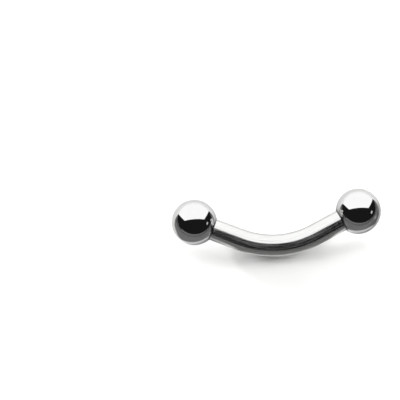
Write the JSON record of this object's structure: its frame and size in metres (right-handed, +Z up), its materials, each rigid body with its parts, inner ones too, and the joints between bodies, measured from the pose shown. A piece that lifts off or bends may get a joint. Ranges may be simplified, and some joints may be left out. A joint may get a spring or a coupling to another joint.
{
  "type": "curved nipple barbell",
  "caption": "Polished steel body-jewellery barbell: a gently bent round bar with a ball screwed into each end on an internal thread.",
  "frame": {"origin": "centre of the outline seen from above, on the level that both balls and the outside of the bend rest on", "axes": "+X along the bar from the left ball to the right one, +Y level from the outside of the bend towards the balls, +Z up"},
  "size_m": [0.023, 0.0066, 0.005],
  "materials": {
    "polished_bar": "polished",
    "mirror_ball": "polished"
  },
  "bodies": {
    "bar": {"bar": "polished_bar"},
    "ball_left": {"ball_left": "mirror_ball"},
    "ball_right": {"ball_right": "mirror_ball"}
  },
  "joints": [
    {"name": "ball_left_unscrew", "type": "slide", "parent": "bar", "child": "ball_left", "axis": [-0.91, 0.3764, 0.174], "range_m": [0, 0.003]},
    {"name": "ball_right_unscrew", "type": "slide", "parent": "bar", "child": "ball_right", "axis": [0.91, 0.3764, 0.174], "range_m": [0, 0.003]}
  ]
}
